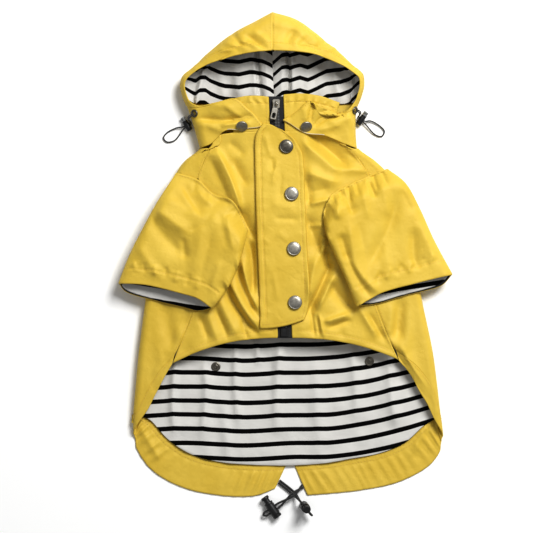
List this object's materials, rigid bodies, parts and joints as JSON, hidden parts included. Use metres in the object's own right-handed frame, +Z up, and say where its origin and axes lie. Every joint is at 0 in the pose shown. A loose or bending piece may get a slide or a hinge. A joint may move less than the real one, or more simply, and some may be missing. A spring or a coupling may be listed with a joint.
{
  "type": "hooded dog raincoat",
  "caption": "Hooded dog raincoat laid flat belly side up, with short sleeves, a zip under a snapped placket, a striped lining and a corded hem and hood.",
  "frame": {"origin": "on the table under the middle of the coat, measured without its cords and cord locks", "axes": "+Y towards the hood, +X to the right as seen from above with the hood away from the viewer, +Z up from the table"},
  "size_m": [0.3344, 0.5092, 0.041],
  "materials": {
    "shell": "yellow coated woven shell, low sheen",
    "striped_jersey": "off-white and black striped jersey, matte",
    "black_tape": "black woven zip tape and coil, matte",
    "steel": "satin",
    "dark_steel": "dark satin",
    "black_plastic": "matte",
    "grey_plastic": "matte",
    "cord": "braided black cord"
  },
  "bodies": {
    "coat": {"back_panel": "shell", "hem_casing_l": "shell", "hem_casing_r": "shell", "front_l": "shell", "front_r": "shell", "sleeve_l": "shell", "sleeve_r": "shell", "hood_l": "shell", "hood_r": "shell", "collar_l": "shell", "collar_r": "shell", "placket": "shell", "lining_back": "striped_jersey", "cuff_lining_l": "striped_jersey", "cuff_lining_r": "striped_jersey", "hood_lining_l": "striped_jersey", "hood_lining_r": "striped_jersey", "zip_tape": "black_tape", "zip_chain": "black_tape", "snap_2": "steel", "snap_3": "steel", "snap_4": "steel", "snap_1": "dark_steel", "flap_snap_l": "dark_steel", "flap_snap_r": "dark_steel", "lining_stud_l": "dark_steel", "lining_stud_r": "dark_steel", "eyelet_l": "dark_steel", "eyelet_r": "dark_steel", "zip_slider": "dark_steel", "zip_box": "black_plastic", "toggle_hood_l": "black_plastic", "toggle_hood_r": "black_plastic", "toggle_hem_l": "black_plastic", "toggle_hem_r": "black_plastic", "cord_hood_l": "cord", "cord_hood_r": "cord", "cord_hem_l": "cord", "cord_hem_r": "cord"},
    "zip_pull": {"zip_pull": "steel"},
    "plunger_hood_l": {"plunger_hood_l": "grey_plastic"},
    "plunger_hood_r": {"plunger_hood_r": "grey_plastic"},
    "plunger_hem_l": {"plunger_hem_l": "black_plastic"},
    "plunger_hem_r": {"plunger_hem_r": "black_plastic"}
  },
  "joints": [
    {"name": "zip_pull_swing", "type": "hinge", "parent": "coat", "child": "zip_pull", "pos_m": [-0.00916, 0.15043, 0.02688], "axis": [-0.9781, 0.2079, 0], "range_deg": [0, 150]},
    {"name": "lock_hood_l_press", "type": "slide", "parent": "coat", "child": "plunger_hood_l", "axis": [-0.5274, 0.8496, 0], "range_m": [-0.0018, 0], "stiffness_N_per_m": 300, "springref_m": 0.002},
    {"name": "lock_hood_r_press", "type": "slide", "parent": "coat", "child": "plunger_hood_r", "axis": [0.577, 0.8168, 0], "range_m": [-0.0018, 0], "stiffness_N_per_m": 300, "springref_m": 0.002},
    {"name": "lock_hem_l_press", "type": "slide", "parent": "coat", "child": "plunger_hem_l", "axis": [-0.5728, 0.8197, 0], "range_m": [-0.0025, 0], "stiffness_N_per_m": 300, "springref_m": 0.002},
    {"name": "lock_hem_r_press", "type": "slide", "parent": "coat", "child": "plunger_hem_r", "axis": [0.1186, -0.0988, 0.988], "range_m": [-0.0025, 0], "stiffness_N_per_m": 300, "springref_m": 0.002}
  ]
}
